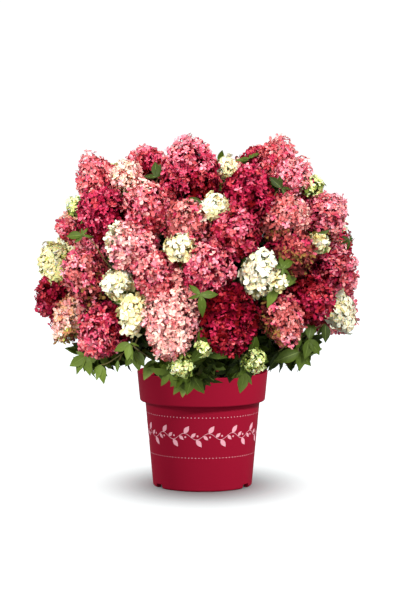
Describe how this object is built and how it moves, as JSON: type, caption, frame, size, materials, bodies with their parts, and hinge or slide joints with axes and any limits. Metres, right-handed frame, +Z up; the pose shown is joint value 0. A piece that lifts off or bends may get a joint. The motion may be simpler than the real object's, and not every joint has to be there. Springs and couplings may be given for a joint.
{
  "type": "potted panicle hydrangea",
  "caption": "Compact flowering shrub with a dome of cone-shaped rose, ruby, blush and cream flower heads over pointed leaves, in a tapered moulded plastic pot.",
  "frame": {"origin": "middle of the pot's flat underside, on the level surface that the pot stands on", "axes": "+Z up along the pot's axis; the side seen in the picture faces -Y; +X is to the right seen from the front"},
  "size_m": [0.578, 0.5966, 0.6229],
  "materials": {
    "pot": "satin",
    "compost": "matte",
    "bark": "matte",
    "leaf": "matte",
    "ruby": "matte",
    "dark_ruby": "matte",
    "raspberry": "matte",
    "rose": "matte",
    "coral": "matte",
    "dusty_rose": "matte",
    "blush": "matte",
    "peach": "matte",
    "cream": "matte",
    "lime": "matte"
  },
  "bodies": {
    "root": {"pot": "pot", "compost": "compost", "stem": "bark", "bough_1": "bark", "bough_2": "bark", "bough_3": "bark", "bough_4": "bark", "leaves_inner_1": "leaf", "leaves_inner_2": "leaf", "leaves_inner_3": "leaf", "leaves_inner_4": "leaf", "leaves_top": "leaf", "leaves_low_front": "leaf", "leaves_low_front_right": "leaf", "leaves_low_right": "leaf", "leaves_low_left": "leaf", "leaves_low_back_right": "leaf", "leaves_low_back_left": "leaf", "panicle_crest_rose": "rose", "panicle_crest_ruby": "ruby", "panicle_crest_salmon": "coral", "panicle_shoulder_left_rose": "rose", "panicle_shoulder_right_pink": "coral", "panicle_upper_left_ruby": "ruby", "panicle_upper_left_coral": "coral", "panicle_upper_middle_dusty": "dusty_rose", "panicle_upper_middle_ruby": "raspberry", "panicle_upper_right_dusty": "dusty_rose", "panicle_upper_right_rose": "rose", "panicle_middle_left_lime": "lime", "panicle_middle_left_dusty": "dusty_rose", "panicle_middle_left_blush": "rose", "panicle_middle_coral": "coral", "panicle_middle_rose": "raspberry", "panicle_middle_white": "cream", "panicle_middle_right_dusty": "dusty_rose", "panicle_middle_right_ruby": "ruby", "panicle_low_left_ruby": "dark_ruby", "panicle_low_left_peach": "peach", "panicle_low_left_raspberry": "raspberry", "panicle_low_left_cream": "cream", "panicle_low_middle_blush": "blush", "panicle_low_middle_ruby": "dark_ruby", "panicle_low_right_dusty": "dusty_rose", "panicle_low_right_ruby": "ruby", "panicle_low_right_white": "cream", "panicle_back_low_1": "rose", "panicle_back_low_2": "cream", "panicle_back_low_3": "blush", "panicle_back_low_4": "dusty_rose", "panicle_back_low_5": "raspberry", "panicle_back_middle_1": "ruby", "panicle_back_middle_2": "coral", "panicle_back_middle_3": "rose", "panicle_back_middle_4": "cream", "panicle_back_upper_1": "blush", "panicle_back_upper_2": "dusty_rose", "panicle_back_upper_3": "raspberry", "panicle_back_top_1": "ruby", "panicle_back_top_2": "coral"}
  },
  "joints": []
}
